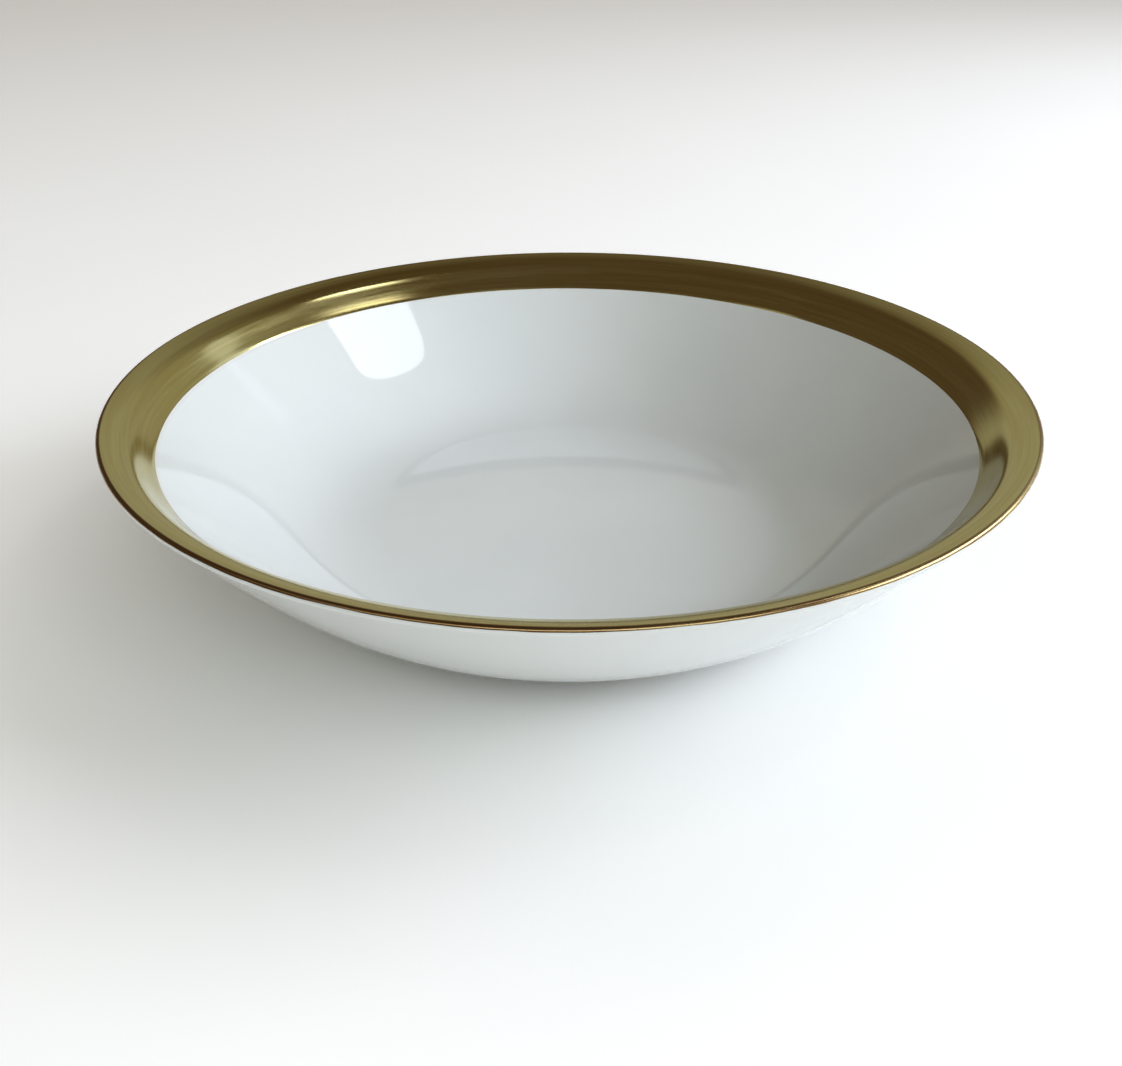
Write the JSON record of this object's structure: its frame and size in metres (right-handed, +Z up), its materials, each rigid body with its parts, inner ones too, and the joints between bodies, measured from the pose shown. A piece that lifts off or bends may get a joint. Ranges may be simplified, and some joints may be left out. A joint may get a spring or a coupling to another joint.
{
  "type": "serving bowl",
  "caption": "Round shallow white glazed porcelain serving bowl with a wide gilded band inside the flared rim, a gilded lip and a low foot ring.",
  "frame": {"origin": "centre of the plane that the foot ring stands on", "axes": "+Z up along the bowl's axis of turning; the bowl is round, so +X and +Y are any two level directions at right angles"},
  "size_m": [0.25, 0.25, 0.053],
  "materials": {
    "porcelain": "fired porcelain body, hidden under the glaze",
    "bare_foot": "unglazed fired porcelain, smooth and matt, slightly grey from use",
    "white_glaze": "clear high gloss glaze over white porcelain, faintly cool white",
    "band_gold": "fired bright gold, polished, olive-gold with faint brush streaks",
    "lip_gold": "fired bright gold over the edge of the lip, slightly rubbed"
  },
  "bodies": {
    "root": {"porcelain_body": "porcelain", "foot_ring": "bare_foot", "inner_glaze": "white_glaze", "outer_glaze": "white_glaze", "foot_recess_glaze": "white_glaze", "gold_band": "band_gold", "gold_lip_line": "lip_gold"}
  },
  "joints": []
}
